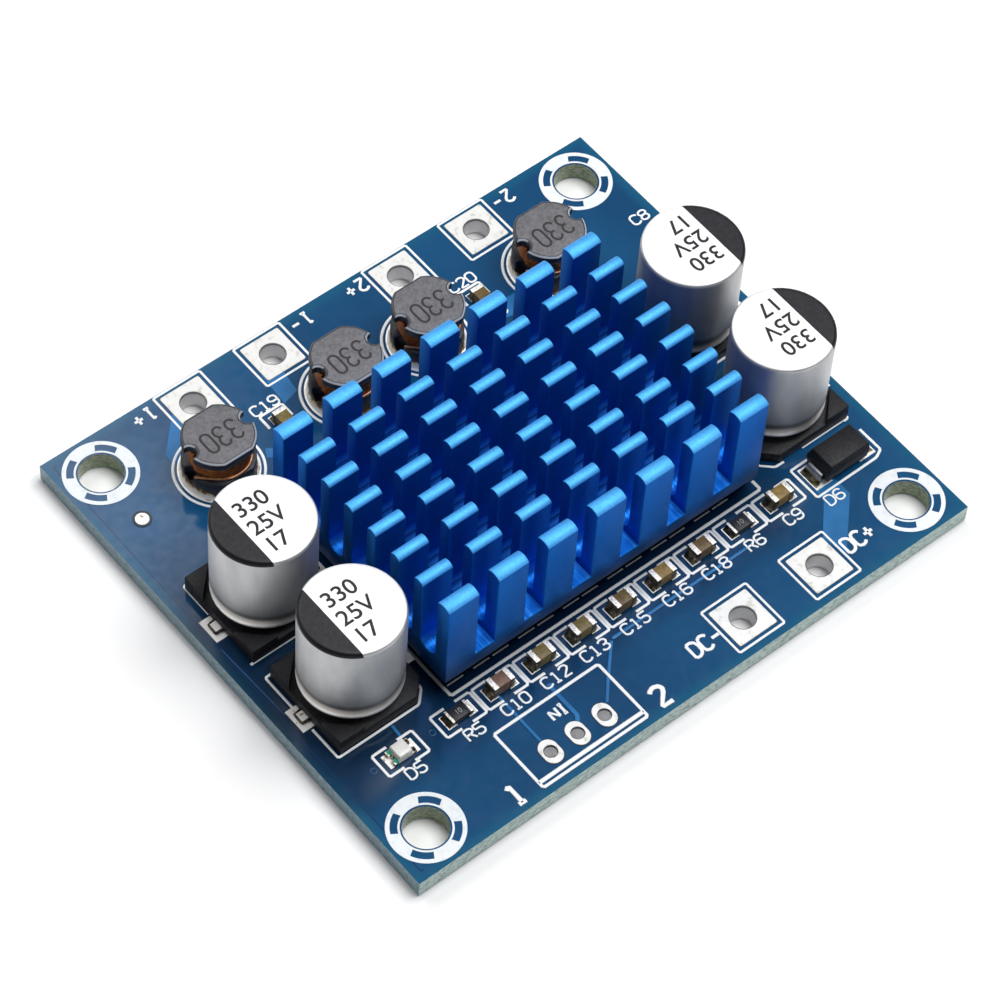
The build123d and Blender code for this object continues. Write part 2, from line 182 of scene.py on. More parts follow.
class Finish:
    """A finish worked out from the piece's own place, in millimetres."""

    def __init__(self, name, roughness=0.5, metallic=0.0, specular=0.5):
        self.material = bpy.data.materials.new(name)
        self.material.use_nodes = True
        self.nodes = self.material.node_tree.nodes
        self.links = self.material.node_tree.links
        self.shader = self.nodes["Principled BSDF"]
        self.feed(self.shader.inputs["Roughness"], roughness)
        self.feed(self.shader.inputs["Metallic"], metallic)
        self.feed(self.shader.inputs["Specular IOR Level"], specular)
        scaled = self.nodes.new("ShaderNodeVectorMath")
        scaled.operation = "SCALE"
        scaled.inputs["Scale"].default_value = 1000
        self.links.new(self.nodes.new("ShaderNodeTexCoord").outputs["Object"], scaled.inputs["Vector"])
        self.place = scaled.outputs["Vector"]
        self.normal = None

    def feed(self, socket, value):
        """Joins a field to a socket, or sets the socket to a number or a colour."""
        if isinstance(value, Field):
            self.links.new(value.socket, socket)
        else:
            socket.default_value = paint_of(value) if socket.type == "RGBA" else value

    def axes(self, vector=None):
        """The place, or another vector, as its three numbers."""
        split = self.nodes.new("ShaderNodeSeparateXYZ")
        self.links.new(vector or self.place, split.inputs["Vector"])
        return [Field(self, number) for number in split.outputs]

    def facing(self, kind="Normal"):
        """The way the surface faces, as three numbers. Its True Normal is the unsmoothed one."""
        return self.axes(self.nodes.new("ShaderNodeNewGeometry").outputs[kind])

    def grain(self, size, detail=2.0, stretch=(1, 1, 1)):
        """Soft lumps of that size in millimetres, drawn out along an axis by stretch."""
        scaled = self.nodes.new("ShaderNodeMapping")
        scaled.inputs["Scale"].default_value = [1 / (size * along) for along in stretch]
        self.links.new(self.place, scaled.inputs["Vector"])
        noise = self.nodes.new("ShaderNodeTexNoise")
        noise.inputs["Scale"].default_value = 1
        noise.inputs["Detail"].default_value = detail
        self.links.new(scaled.outputs["Vector"], noise.inputs["Vector"])
        return Field(self, noise.outputs["Fac"])

    def shades(self, factor, *stops):
        """Colours along a factor: pairs of a position and a colour."""
        ramp = self.nodes.new("ShaderNodeValToRGB")
        points = ramp.color_ramp.elements
        points[0].position, points[1].position = stops[0][0], stops[-1][0]
        points[0].color, points[1].color = paint_of(stops[0][1]), paint_of(stops[-1][1])
        for position, colour in stops[1:-1]:
            points.new(position).color = paint_of(colour)
        self.feed(ramp.inputs["Fac"], factor)
        return Field(self, ramp.outputs["Color"])

    def between(self, factor, first, second):
        """The first colour where the factor is 0, the second where it is 1."""
        mix = self.nodes.new("ShaderNodeMix")
        mix.data_type = "RGBA"
        for name, value in (("Factor", factor), ("A", first), ("B", second)):
            self.feed(mix.inputs[name], value)
        return Field(self, mix.outputs["Result"])

    def paint(self, colour):
        self.feed(self.shader.inputs["Base Color"], colour)

    def gloss(self, factor, low, high):
        """Roughness from low to high as the factor goes from 0.3 to 0.7."""
        spread = self.nodes.new("ShaderNodeMapRange")
        for name, value in (("From Min", 0.3), ("From Max", 0.7), ("To Min", low), ("To Max", high)):
            spread.inputs[name].default_value = value
        self.feed(spread.inputs["Value"], factor)
        self.links.new(spread.outputs["Result"], self.shader.inputs["Roughness"])

    def relief(self, lumps, depth):
        """Small unevenness, depth in millimetres."""
        bump = self.nodes.new("ShaderNodeBump")
        bump.inputs["Strength"].default_value = 1
        bump.inputs["Distance"].default_value = depth / 1000
        self.feed(bump.inputs["Height"], lumps)
        if self.normal:
            self.links.new(self.normal, bump.inputs["Normal"])
        self.normal = bump.outputs["Normal"]
        self.links.new(self.normal, self.shader.inputs["Normal"])


def dress(finish, *names):
    """Gives a finish to solids that keep their CAD shape."""
    for name in names:
        solid = nodes[name]
        if not solid.material_slots:
            solid.data.materials.append(finish.material)
        for slot in solid.material_slots:
            slot.material = finish.material


def far(across, along):
    """How far a place is, from its distances across and along."""
    return (across * across + along * along).step("SQRT")


def off_box(finish, left, right, front, back):
    """Millimetres from a box on the board."""
    across, along, _ = finish.axes()
    beyond_x = abs(across - (left + right) / 2) - (right - left) / 2
    beyond_y = abs(along - (front + back) / 2) - (back - front) / 2
    return far(beyond_x.most(0.0), beyond_y.most(0.0))


board_long, board_wide, board_top = 53.0, 45.5, 1.6
no_copper_margin = 0.75
# In front of the heatsink and beside the left-hand cans the mask is painted nearly black:
# painted shade of the heatsink and the cans.
dark_left, dark_front, dark_back = -15.1, -11.5, -4.0

mask = Finish("blue_solder_mask", specular=0.42)
across, along, upright = mask.axes()
turned_x, _, turned_z = mask.facing("True Normal")
pour = mask.shades(mask.grain(9), (0.35, (0.003, 0.053, 0.142)), (0.65, (0.005, 0.07, 0.178)))
off_cans = off_box(mask, -24.6, -16.2, -11.2, 0.5).most(1.2)
off_dark = off_box(mask, dark_left, 13.0, dark_front, dark_back).least(off_cans)
# Painted shade: 0 is painted nearly black, 1 keeps the mask's own colour.
out_of_painted_shade = mask.shades(off_dark * (1 / 6), (0.03, 0.08), (0.15, 0.24), (0.3, 0.4), (0.6, 0.5), (0.94, 1.0))
out_of_painted_shade = out_of_painted_shade.most(upright < board_top / 2)
margin = abs(across) - (board_long / 2 - no_copper_margin)
margin = margin.most(abs(along) - (board_wide / 2 - no_copper_margin))
rim = (margin * (1 / 0.9) + 0.35).held()
groove = (abs(margin) < 0.05) * (across < -25.5)
faces = mask.between(rim, pour, (0.005, 0.086, 0.178))
faces = mask.between(out_of_painted_shade, (0.0012, 0.0036, 0.014), faces)
faces = mask.between(groove, faces, (0.002, 0.03, 0.1))
fibres = mask.grain(0.22, 4, (1.6, 1.6, 0.8))
sawn_edge = mask.shades(
    fibres, (0.3, (0.14, 0.2, 0.17)), (0.44, (0.28, 0.4, 0.38)), (0.66, (0.44, 0.56, 0.52)),
)
hole_wall = mask.shades(fibres, (0.3, (0.11, 0.15, 0.09)), (0.66, (0.34, 0.4, 0.27)))
# The two short sides are painted darker and bluer than the long ones: painted shade.
short_side_painted_shade = mask.shades(fibres, (0.3, (0.06, 0.13, 0.155)), (0.7, (0.17, 0.28, 0.33)))
laminate = mask.between(margin < -0.2, sawn_edge, hole_wall)
short_sides = (abs(turned_x) > 0.9) * (abs(across) > board_long / 2 - 0.1)
flat = abs(turned_z) > 0.5
mask.paint(mask.between(flat, mask.between(short_sides, laminate, short_side_painted_shade), faces))
mask.gloss(mask.between(flat, 0.75, mask.grain(0.7, 3)), 0.1, 0.18)
mask.relief(mask.grain(1.6, 3), 0.004)
dress(mask, "printed_circuit_board")


# The copper tracks under the mask: rolled copper etched to shape and covered by the same mask,
# which looks a lighter blue over it. The wide ones carry the supply and the two outputs, and
# the thin ones the signals.
def mottled(name, lumps, *stops, bumps=None, gloss=None, **shine):
    """A finish whose colour drifts over soft lumps, each given as grain takes them. Bumps start
    with their depth, and gloss with its two ends."""
    finish = Finish(name, **shine)
    finish.paint(finish.shades(finish.grain(*lumps), *stops))
    if gloss:
        finish.gloss(finish.grain(*gloss[2:]), *gloss[:2])
    if bumps:
        finish.relief(finish.grain(*bumps[1:]), bumps[0])
    return finish


def settle(piece):
    """Brings a piece drawn in millimetres to metres, its place in its mesh, and fixes it."""
    only(piece)
    bpy.ops.object.transform_apply(location=True, rotation=True, scale=True)
    piece.scale = (0.001, 0.001, 0.001)
    bpy.ops.object.transform_apply(location=False, rotation=False, scale=True)
    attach(piece, "root")
    return piece


def pen(name, radius, roundness):
    """An empty curve that a round pen of that radius follows."""
    shape = bpy.data.curves.new(name, "CURVE")
    shape.dimensions = "3D"
    shape.bevel_depth = radius
    shape.bevel_resolution = roundness
    shape.use_fill_caps = True
    return shape


def add_line(shape, points, closed, kind="POLY"):
    """Adds a line through flat or solid points to a curve."""
    line = shape.splines.new(kind)
    line.points.add(len(points) - 1)
    for point, spot in zip(line.points, points):
        point.co = Vector(spot).to_4d()
    line.use_cyclic_u = closed
    return line


def meshed(shape, finish):
    """A curve or a text made a mesh, with its finish."""
    only(placed(shape.name, shape))
    bpy.ops.object.convert(target="MESH")
    piece = bpy.context.object
    piece.data.materials.append(finish.material)
    return piece


def eased(points, closed, cut):
    """The points of a line with each corner cut back, as a round pen draws it."""
    drawn = []
    count = len(points)
    for number, corner in enumerate(points):
        if not closed and number in (0, count - 1):
            drawn.append(Vector(corner))
            continue
        for neighbour in (points[number - 1], points[(number + 1) % count]):
            way = Vector(neighbour) - Vector(corner)
            drawn.append(Vector(corner) + way.normalized() * min(cut, way.length * 0.4))
    return drawn


def drawn_lines(name, lines, width, bottom, top, finish):
    """Lines of one width, laid flat. Each is a list of points, closed if it ends where it starts."""
    shape = pen(name, width / 2, 1)
    for line in lines:
        closed = len(line) > 2 and line[0] == line[-1]
        add_line(shape, eased(line[:-1] if closed else line, closed, width * 0.45), closed)
    piece = meshed(shape, finish)
    piece.scale = (1, 1, (top - bottom) / width)
    piece.location = (0, 0, (top + bottom) / 2)
    return settle(piece)


def flat_shape(name, outlines, bottom, top, edge, finish):
    """A thin flat form with rounded edges. An outline inside another one is a window in it."""
    shape = bpy.data.curves.new(name, "CURVE")
    shape.dimensions = "2D"
    shape.fill_mode = "BOTH"
    shape.extrude = (top - bottom) / 2 - edge
    shape.bevel_depth = edge
    shape.bevel_resolution = 1
    shape.offset = -edge
    for outline in outlines:
        add_line(shape, outline, True)
    piece = meshed(shape, finish)
    piece.location = (0, 0, (top + bottom) / 2)
    return settle(piece)


covered_copper = mottled(
    "mask_over_copper", (2.5, 3), (0.35, (0.012, 0.125, 0.32)), (0.65, (0.02, 0.165, 0.41)),
    bumps=(0.003, 0.5, 3), roughness=0.22, specular=0.4,
)
faint_copper = mottled(
    "mask_over_fine_copper", (2.5, 3), (0.35, (0.008, 0.055, 0.16)), (0.65, (0.015, 0.08, 0.21)),
    roughness=0.25,
)

track_top = board_top + 0.02
thin_tracks = [
    [(-12.21, -19.0), (-12.2, -13.2)],
    [(-6.28, -19.3), (-4.79, -17.68), (-2.6, -15.45)],
    [(-2.4, -15.32), (11.3, -15.32)],
    [(-19.87, -11.3), (-19.95, -12.4)],
]
sensing_track = [(-9.4, -19.6), (-8.7, -18.9), (-8.7, -16.4), (-8.67, -15.5)]
drawn_lines("thin_tracks", thin_tracks, 0.3, board_top, track_top, covered_copper)
drawn_lines("sensing_track", [sensing_track], 0.45, board_top, track_top, covered_copper)

wide_tracks = {
    "supply_track": [
        (18.28, -14.5), (20.25, -14.5), (20.25, -16.36), (16.2, -20.45), (15.9, -18.15), (16.45, -17.56),
        (18.28, -15.59),
    ],
    "output_track_1": [
        (-15.6, 20.75), (-16.2, 20.13), (-18.45, 17.81), (-18.47, 17.0), (-17.2, 15.9), (-15.6, 18.4),
    ],
    "output_track_2": [(-8.2, 19.4), (-6.6, 18.6), (-6.9, 16.6), (-8.4, 16.2)],
    "output_track_3": [(-12.14, 13.75), (-11.5, 13.37), (-11.6, 12.8), (-12.0, 12.6), (-12.55, 13.0)],
    "output_track_4": [(12.6, 13.8), (11.3, 13.8), (10.2, 12.3), (11.6, 12.0)],
}
for name, outline in wide_tracks.items():
    flat_shape(name, [outline], board_top, track_top, 0.004, covered_copper)


# The printing on the board: white ink screened over the mask, a few hundredths of a millimetre
# thick. It frames each part and names it in plain numbers and letters, drawn with a round
# pen. The four mounting rings are printed solid, with four windows in each.
ink_foot, ink_top = board_top - 0.01, board_top + 0.035

white_ink = Finish("white_board_ink", 0.55)
solid_ink = white_ink.shades(white_ink.grain(0.35, 3), (0.26, (0.74, 0.79, 0.83)), (0.42, (0.9, 0.92, 0.93)))
# The ink is painted darker in front of the heatsink: painted shade.
off_dark = off_box(white_ink, dark_left, 14.0, dark_front, dark_back)
ink_out_of_painted_shade = white_ink.shades(off_dark * (1 / 4), (0.02, 0.3), (0.13, 0.55), (0.45, 0.62), (0.78, 1.0))
white_ink.paint(white_ink.between(ink_out_of_painted_shade, (0.03, 0.04, 0.05), solid_ink))
white_ink.relief(white_ink.grain(0.2), 0.006)


def print_lines(name, lines, width):
    return drawn_lines(name, lines, width, ink_foot, ink_top, white_ink)


def round_loop(middle, radius, steps, start=0.0, end=360.0):
    """Points round a circle or part of one, in degrees."""
    whole = abs(end - start) >= 360
    spots = []
    for number in range(steps if whole else steps + 1):
        angle = math.radians(start + (end - start) * number / steps)
        spots.append((middle[0] + radius * math.cos(angle), middle[1] + radius * math.sin(angle)))
    return spots


def looped(points):
    return points + points[:1]


def frame_loop(left, right, front, back):
    return looped([(left, front), (right, front), (right, back), (left, back)])


ring_ink = mottled(
    "solid_ring_ink", (0.5, 3), (0.3, (0.68, 0.73, 0.75)), (0.5, (0.77, 0.81, 0.83)),
    bumps=(0.006, 0.2), roughness=0.55,
)
mount_holes = [(x, y) for x in (-23.25, 23.25) for y in (-19.45, 19.45)]
for number, spot in enumerate(mount_holes, 1):
    outlines = [round_loop(spot, 2.94, 64), round_loop(spot, 1.88, 48)]
    for middle in (45, 135, 225, 315):
        outer = round_loop(spot, 2.6, 8, middle - 19.5, middle + 19.5)
        inner = round_loop(spot, 2.04, 8, middle + 21.5, middle - 21.5)
        outlines.append(outer + inner)
    flat_shape(f"mount_ring_{number}", outlines, board_top, ink_top, 0.008, ring_ink)

wire_pads = [(x, 20.45) for x in (-13.87, -6.26, 6.26, 13.87)] + [(6.39, -19.85), (14.01, -19.85)]
frame_half, board_back = 2.2, board_wide / 2 - 0.14
pad_frames = []
for x, y in wire_pads:
    back = min(y + frame_half, board_back)
    pad_frames.append(frame_loop(x - frame_half, x + frame_half, y - frame_half, back))
print_lines("pad_frames", pad_frames, 0.24)
print_lines("input_frame", [frame_loop(-14.56, -4.7, -22.04, -16.41)], 0.31)
print_lines("input_frame_front", [[(-14.56, -21.54), (-4.7, -21.54)]], 0.38)


def bracket(x, y, turned=False):
    """Two facing brackets round a chip, open in the middle of the long sides."""
    half_long, half_wide, opening = 1.83, 1.07, 0.5
    halves = []
    for side in (-1, 1):
        end, start = side * half_long, side * opening
        corners = [(start, -half_wide), (end, -half_wide), (end, half_wide), (start, half_wide)]
        halves.append([(x - b, y + a) if turned else (x + a, y + b) for a, b in corners])
    return halves


chip_row_y, rear_chip_x, rear_chip_y = -13.55, 9.65, 14.5
chip_row = [-15.52 + number * 3.88 for number in range(9)]
brackets = []
for x in chip_row:
    brackets += bracket(x, chip_row_y)
for x in (-rear_chip_x, rear_chip_x):
    brackets += bracket(x, rear_chip_y, True)
brackets += bracket(-20.85, chip_row_y)
print_lines("chip_brackets", brackets, 0.26)

print_lines("heatsink_line", [[(-14.9, -6.0), (-14.9, -11.95), (15.1, -11.95), (15.1, -11.0)]], 0.33)
dash, dash_gaps = 1.53, (0.93, 0.28)
dashes, start = [], -14.6
while start + dash < 12.9:
    dashes.append([(start, -11.1), (start + dash, -11.1)])
    start += dash + dash_gaps[len(dashes) % 2 - 1]
print_lines("heatsink_dashes", dashes, 0.14)

print_lines("capacitor_frames", [
    [(-24.76, -0.95), (-17.6, -0.95)],
    [(-24.0, -2.5), (-24.6, -2.5), (-24.6, -5.8)],
    [(-24.6, -8.07), (-24.6, -11.1), (-17.2, -11.1), (-16.2, -10.1), (-16.2, -9.1)],
    [(24.6, 7.3), (24.6, 7.4), (17.4, 7.4), (16.4, 6.4), (16.4, 5.4)],
    [(24.6, 4.3), (24.6, 7.3)],
    [(17.2, -0.95), (24.7, -0.95)],
    [(16.4, -9.6), (16.45, -10.25), (17.36, -11.1), (18.2, -11.12)],
    [(24.4, -11.06), (24.85, -11.06), (24.85, -8.2)],
    [(24.85, -5.6), (24.85, -2.6), (24.2, -2.6)],
    [(-16.3, 5.8), (-16.3, 6.6), (-17.2, 7.5), (-24.5, 7.5), (-24.5, 4.4)],
], 0.24)
print_lines("capacitor_frame_front", [[(20.19, -11.02), (24.4, -11.02)]], 0.13)
drawn_lines("link_line", [[(-25.63, 1.4), (-25.41, -5.9)]], 0.12, ink_foot, track_top, faint_copper)
print_lines("diode_frame", [
    [(19.87, -12.07), (18.03, -12.07), (18.03, -15.17), (24.1, -15.12), (24.84, -14.75), (24.83, -12.39)],
], 0.26)

drum_near, drum_far, drum_y = 3.97, 16.02, 14.35
drums = [(x, drum_y) for x in (-drum_far, -drum_near, drum_near, drum_far)]
print_lines("inductor_rings", [looped(round_loop(spot, 3.48, 64)) for spot in drums], 0.25)

via_rings = [looped(round_loop(spot, 0.24, 20)) for spot in ((-23.27, -13.5), (-17.95, -13.57))]
drawn_lines("via_rings", via_rings, 0.11, ink_foot, board_top + 0.03, faint_copper)

bare_ring = mottled("bare_laminate_ring", (0.2, 3), (0.3, (0.01, 0.016, 0.02)), (0.7, (0.03, 0.045, 0.05)))
fiducial = (-23.3, 14.2)
ring = [round_loop(fiducial, 0.74, 40), round_loop(fiducial, 0.54, 32)]
flat_shape("fiducial_ring", ring, ink_foot, board_top + 0.062, 0.008, bare_ring)

strokes = {
    "0": [[(1, 0), (3, 0), (4, 1), (4, 5), (3, 6), (1, 6), (0, 5), (0, 1), (1, 0)]],
    "1": [[(0.8, 5), (2, 6), (2, 0)], [(0.8, 0), (3.2, 0)]],
    "2": [[(0, 5), (1, 6), (3, 6), (4, 5), (4, 4), (0, 0), (4, 0)]],
    "3": [
        [(0, 5), (1, 6), (3, 6), (4, 5), (4, 4), (3, 3), (1.5, 3)],
        [(3, 3), (4, 2), (4, 1), (3, 0), (1, 0), (0, 1)],
    ],
    "5": [[(4, 6), (0, 6), (0, 3.5), (3, 3.5), (4, 2.5), (4, 1), (3, 0), (1, 0), (0, 1)]],
    "6": [[(4, 5), (3, 6), (1, 6), (0, 5), (0, 1), (1, 0), (3, 0), (4, 1), (4, 2.4), (3, 3.3), (0, 3.3)]],
    "8": [[
        (1, 3.1), (0, 4), (0, 5), (1, 6), (3, 6), (4, 5), (4, 4), (3, 3.1), (1, 3.1), (0, 2), (0, 1), (1, 0),
        (3, 0), (4, 1), (4, 2), (3, 3.1),
    ]],
    "9": [[(0, 1), (1, 0), (3, 0), (4, 1), (4, 5), (3, 6), (1, 6), (0, 5), (0, 3.6), (1, 2.7), (4, 2.7)]],
    "C": [[(4, 5), (3, 6), (1, 6), (0, 5), (0, 1), (1, 0), (3, 0), (4, 1)]],
    "D": [[(0, 0), (0, 6), (2.6, 6), (4, 4.6), (4, 1.4), (2.6, 0), (0, 0)]],
    "I": [[(2, 0), (2, 6)], [(1, 0), (3, 0)], [(1, 6), (3, 6)]],
    "N": [[(0, 0), (0, 6), (4, 0), (4, 6)]],
    "R": [[(0, 0), (0, 6), (3, 6), (4, 5), (4, 4), (3, 3), (0, 3)], [(2, 3), (4, 0)]],
    "+": [[(2, 1), (2, 5)], [(0, 3), (4, 3)]],
    "-": [[(0.3, 3), (3.7, 3)]],
}


def written(words, x, y, tall, turn=0.0, wide=0.72, pitch=1.25):
    """The pen lines of a mark whose middle is at x, y, on letters 4 by 6 squares in size."""
    step = tall * wide * pitch
    span = step * (len(words) - 1) + tall * wide
    cos, sin = math.cos(math.radians(turn)), math.sin(math.radians(turn))
    lines = []
    for number, letter in enumerate(words):
        for stroke in strokes[letter]:
            spots = []
            for over, rise in stroke:
                a = number * step - span / 2 + over / 4 * tall * wide
                b = (rise / 6 - 0.5) * tall
                spots.append((x + a * cos - b * sin, y + a * sin + b * cos))
            lines.append(spots)
    return lines


row_names = (
    ("R5", -15.45), ("C10", -11.6), ("C12", -7.85), ("C13", -4.1), ("C15", -0.2), ("C16", 3.9), ("C18", 7.75),
    ("R6", 11.6), ("C9", 15.4),
)
part_names = [(words, x, -15.35) for words, x in row_names]
part_names += [("D5", -20.83, -15.3), ("D6", 19.1, -15.9)]
part_names += [("C19", -9.75, 16.95), ("C20", 9.65, 17.05), ("C8", 24.9, 13.6)]
print_lines("part_marks", [line for mark in part_names for line in written(*mark, 0.95)], 0.19)
wire_marks = []
for words, x in (("1+", -17.6), ("1-", -2.6), ("2+", 2.8), ("2-", 17.5)):
    wire_marks += written(words, x, 21.6, 1.2, 180, 0.6, 1.5)
wire_marks += written("IN", -9.6, -17.75, 0.85, 180)
print_lines("output_marks", wire_marks, 0.26)
supply_marks = written("DC-", 2.75, -19.8, 1.35, wide=0.58) + written("DC+", 17.95, -19.8, 1.35, wide=0.58)
print_lines("supply_marks", supply_marks, 0.3)
input_marks = written("1", -16.5, -21.2, 1.7, wide=0.62) + written("2", -2.87, -21.27, 1.7, wide=0.62)
print_lines("input_marks", input_marks, 0.42)


# The tinned pads and lands: copper dipped in molten tin and blown level, so that each has a bright,
# slightly hammered skin with soft edges. The wire pads are square, and the input pads oval,
# each with a plated hole.
def levelled(name, metallic, *level, barrel=(0.47, 0.47, 0.475), mouth=None):
    """Tin of one colour where it lies level, another down a hole's wall, a third at its mouth."""
    coat = Finish(name, metallic=metallic)
    wall = coat.between(coat.axes()[2] > board_top - 0.16, barrel, mouth or barrel)
    upward = coat.facing()[2].most(0.0).step("SMOOTH_MIN", 1.0, 0.1)
    coat.paint(coat.between(upward, wall, coat.shades(coat.grain(0.5, 3), *level)))
    coat.gloss(coat.grain(0.35, 3), 0.42, 0.6)
    coat.relief(coat.grain(0.4, 3), 0.006)
    return coat


def numbered(name, count):
    return [f"{name}_{number}" for number in range(1, count + 1)]


tin = levelled(
    "bright_levelled_tin", 0.3,
    (0.32, (0.56, 0.55, 0.51)), (0.42, (0.72, 0.72, 0.7)), (0.75, (0.77, 0.77, 0.75)),
)
# Round the holes, the level tin and the mouths of the walls are painted nearly black: painted shade.
wide_holes = levelled(
    "tin_of_the_wide_holes_painted_dark", 0.35, (0.3, 0.05), (0.7, 0.12),
    barrel=(0.66, 0.66, 0.67), mouth=(0.2, 0.2, 0.21),
)
narrow_holes = levelled(
    "tin_of_the_narrow_holes_painted_dark", 0.35, (0.3, (0.01, 0.01, 0.012)), (0.7, (0.025, 0.025, 0.028)),
    barrel=(0.9, 0.9, 0.91), mouth=(0.06, 0.06, 0.065),
)
land_tin = levelled(
    "tin_of_the_small_lands", 0.1,
    (0.29, (0.34, 0.29, 0.2)), (0.36, (0.9, 0.88, 0.83)), (0.58, (0.98, 0.98, 0.96)),
)
dress(wide_holes, *numbered("output_pad", 4), *numbered("power_pad", 2))
dress(narrow_holes, *numbered("input_pad", 3))
dress(land_tin, "solder_lands", *numbered("capacitor_terminals", 4))
dress(tin, "amplifier_chip_leads")


def soft_square(x, y, half, corner):
    """A square outline with rounded corners."""
    spots = []
    for turn, (a, b) in enumerate(((1, 1), (-1, 1), (-1, -1), (1, -1))):
        middle = (x + a * (half - corner), y + b * (half - corner))
        spots += round_loop(middle, corner, 5, turn * 90, turn * 90 + 90)
    return spots


def box_mm(name):
    """Two corners of a CAD node's box, in millimetres."""
    return [[side * 1000 for side in corner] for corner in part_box(name)]


skin_foot, wide_opening, narrow_opening = board_top + 0.01, 1.06, 0.54
for number, spot in enumerate(wire_pads, 1):
    outlines = [soft_square(*spot, 1.83, 0.16), round_loop(spot, wide_opening, 40)]
    flat_shape(f"levelled_tin_{number}", outlines, skin_foot, board_top + 0.07, 0.03, tin)

for number, name in enumerate(numbered("input_pad", 3), 7):
    (left, front, _), (right, back, _) = box_mm(name)
    x, y, half = (left + right) / 2, (front + back) / 2, (right - left) / 2 - 0.05
    run = max(0.0, (back - front - right + left) / 2)
    oval = round_loop((x, y + run), half, 20, 0, 180) + round_loop((x, y - run), half, 20, 180, 360)
    outlines = [oval, round_loop((x, y), narrow_opening, 32)]
    flat_shape(f"levelled_tin_{number}", outlines, skin_foot, board_top + 0.068, 0.028, tin)


# The heatsink: one length of aluminium extrusion with eight fins, sawn across six times so that
# posts are left, then anodised blue. The cut edges were tumbled, which leaves a small rounding.
# Faces that turn upwards, on the fin tops most of all, are painted a lighter blue, a painted
# highlight, and the faces low down and the saw floors away from the front and left are painted
# darker, painted shade. The die drew faint lines along the fins, and the saw left marks across them.
def opened(piece, action="SELECT"):
    """Opens a piece for editing, with all of it selected or, for DESELECT, nothing."""
    only(piece)
    bpy.ops.object.mode_set(mode="EDIT")
    bpy.ops.mesh.select_all(action=action)


def closed_up(turned_out=False):
    """Ends the editing, if need be with every face turned outwards."""
    if turned_out:
        bpy.ops.mesh.select_all(action="SELECT")
        bpy.ops.mesh.normals_make_consistent(inside=False)
    bpy.ops.object.mode_set(mode="OBJECT")


def rounded(piece, width, segments, limit, smooth):
    """Rounds the active piece's edges that turn by more than a limit, and shades it smooth."""
    rounding = piece.modifiers.new("rounding", "BEVEL")
    rounding.width = width
    rounding.segments = segments
    rounding.limit_method = "ANGLE"
    rounding.angle_limit = math.radians(limit)
    bpy.ops.object.modifier_apply(modifier="rounding")
    bpy.ops.object.shade_smooth_by_angle(angle=math.radians(smooth))


def eased_copy(source, name, width, slot, *finishes, segments=2, flatten=1.0):
    """A CAD solid again, with the small rounding on its edges that its making leaves."""
    piece = placed(name, nodes[source].data.copy())
    piece.data.materials.clear()
    for finish in finishes:
        piece.data.materials.append(finish.material)
    opened(piece)
    bpy.ops.mesh.remove_doubles(threshold=0.000002)
    bpy.ops.mesh.dissolve_limited(angle_limit=math.radians(flatten))
    closed_up()
    rounded(piece, width / 1000, segments, 30, 35)
    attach(piece, "root")
    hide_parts(source)
    return piece


def shifted(piece, low, high, move, scale=(1, 1, 1), middle=(0, 0, 0)):
    """Scales and moves the corners of a piece that lie between two heights, in millimetres."""
    opened(piece, "DESELECT")
    shell = bmesh.from_edit_mesh(piece.data)
    for corner in shell.verts:
        corner.select_set(low < corner.co.z * 1000 < high)
    shell.select_flush(True)
    bmesh.update_edit_mesh(piece.data)
    bpy.ops.transform.resize(value=scale, center_override=[along / 1000 for along in middle])
    bpy.ops.transform.translate(value=[along / 1000 for along in move])
    closed_up()


anodised = Finish("blue_anodised_aluminium", metallic=0.88)
column, row, lift = anodised.axes()
sheets = anodised.shades(anodised.grain(0.5, 3), (0.3, (0.003, 0.15, 0.56)), (0.7, (0.005, 0.172, 0.63)))
# Painted shade: the faces low down are painted darker.
well_lit = ((lift - 2.9) * (1 / 2.4)).held()
sheets = anodised.between(well_lit, (0.002, 0.06, 0.23), sheets)
# Painted highlight: faces that turn upwards take this lighter blue.
crowns_painted_lighter = anodised.shades(anodised.grain(0.14, 3), (0.35, (0.078, 0.4, 0.84)), (0.65, (0.11, 0.48, 0.92)))
saw_marks = anodised.grain(0.17, 1, (1, 60, 60))
sawn = anodised.shades(
    saw_marks, (0.42, (0.005, 0.175, 0.66)), (0.58, (0.012, 0.23, 0.8)), (0.66, (0.05, 0.36, 0.95)),
)
# Painted shade: the saw floors away from the front and left edges are painted darker.
floor_out_of_painted_shade = ((row + 7.6) * (-1 / 1.4)).most((column + 13.4) * (-1 / 1.2)).held()
sawn = anodised.between(floor_out_of_painted_shade, (0.002, 0.06, 0.27), sawn)
deep = lift < 5.8
tilt = (anodised.facing()[2] * 1.7 - 0.2).held()
level_floor = deep * (tilt > 0.99)
hollow = tilt * (deep * -0.7 + 1.0)
anodised.paint(anodised.between(level_floor, anodised.between(hollow, sheets, crowns_painted_lighter), sawn))
anodised.gloss(hollow * 0.3 + (anodised.grain(0.12, 3, (30, 1, 1)) * 0.4 + 0.2), 0.42, 0.64)
anodised.relief(anodised.grain(0.25, 4, (40, 1, 1)), 0.0015)
anodised.relief(anodised.grain(0.07), 0.004)

extrusion = eased_copy("heatsink", "heatsink_extrusion", 0.05, "heatsink", anodised)
saw_floor = box_mm("heatsink")[0][2] + 1.65
shifted(extrusion, saw_floor - 0.06, saw_floor + 0.06, (0, 0, -0.25))

paste = mottled(
    "white_thermal_adhesive", (0.5, 3), (0.3, (0.62, 0.62, 0.6)), (0.7, (0.78, 0.78, 0.75)),
    bumps=(0.02, 0.4, 3),
)
dress(paste, "thermal_adhesive")


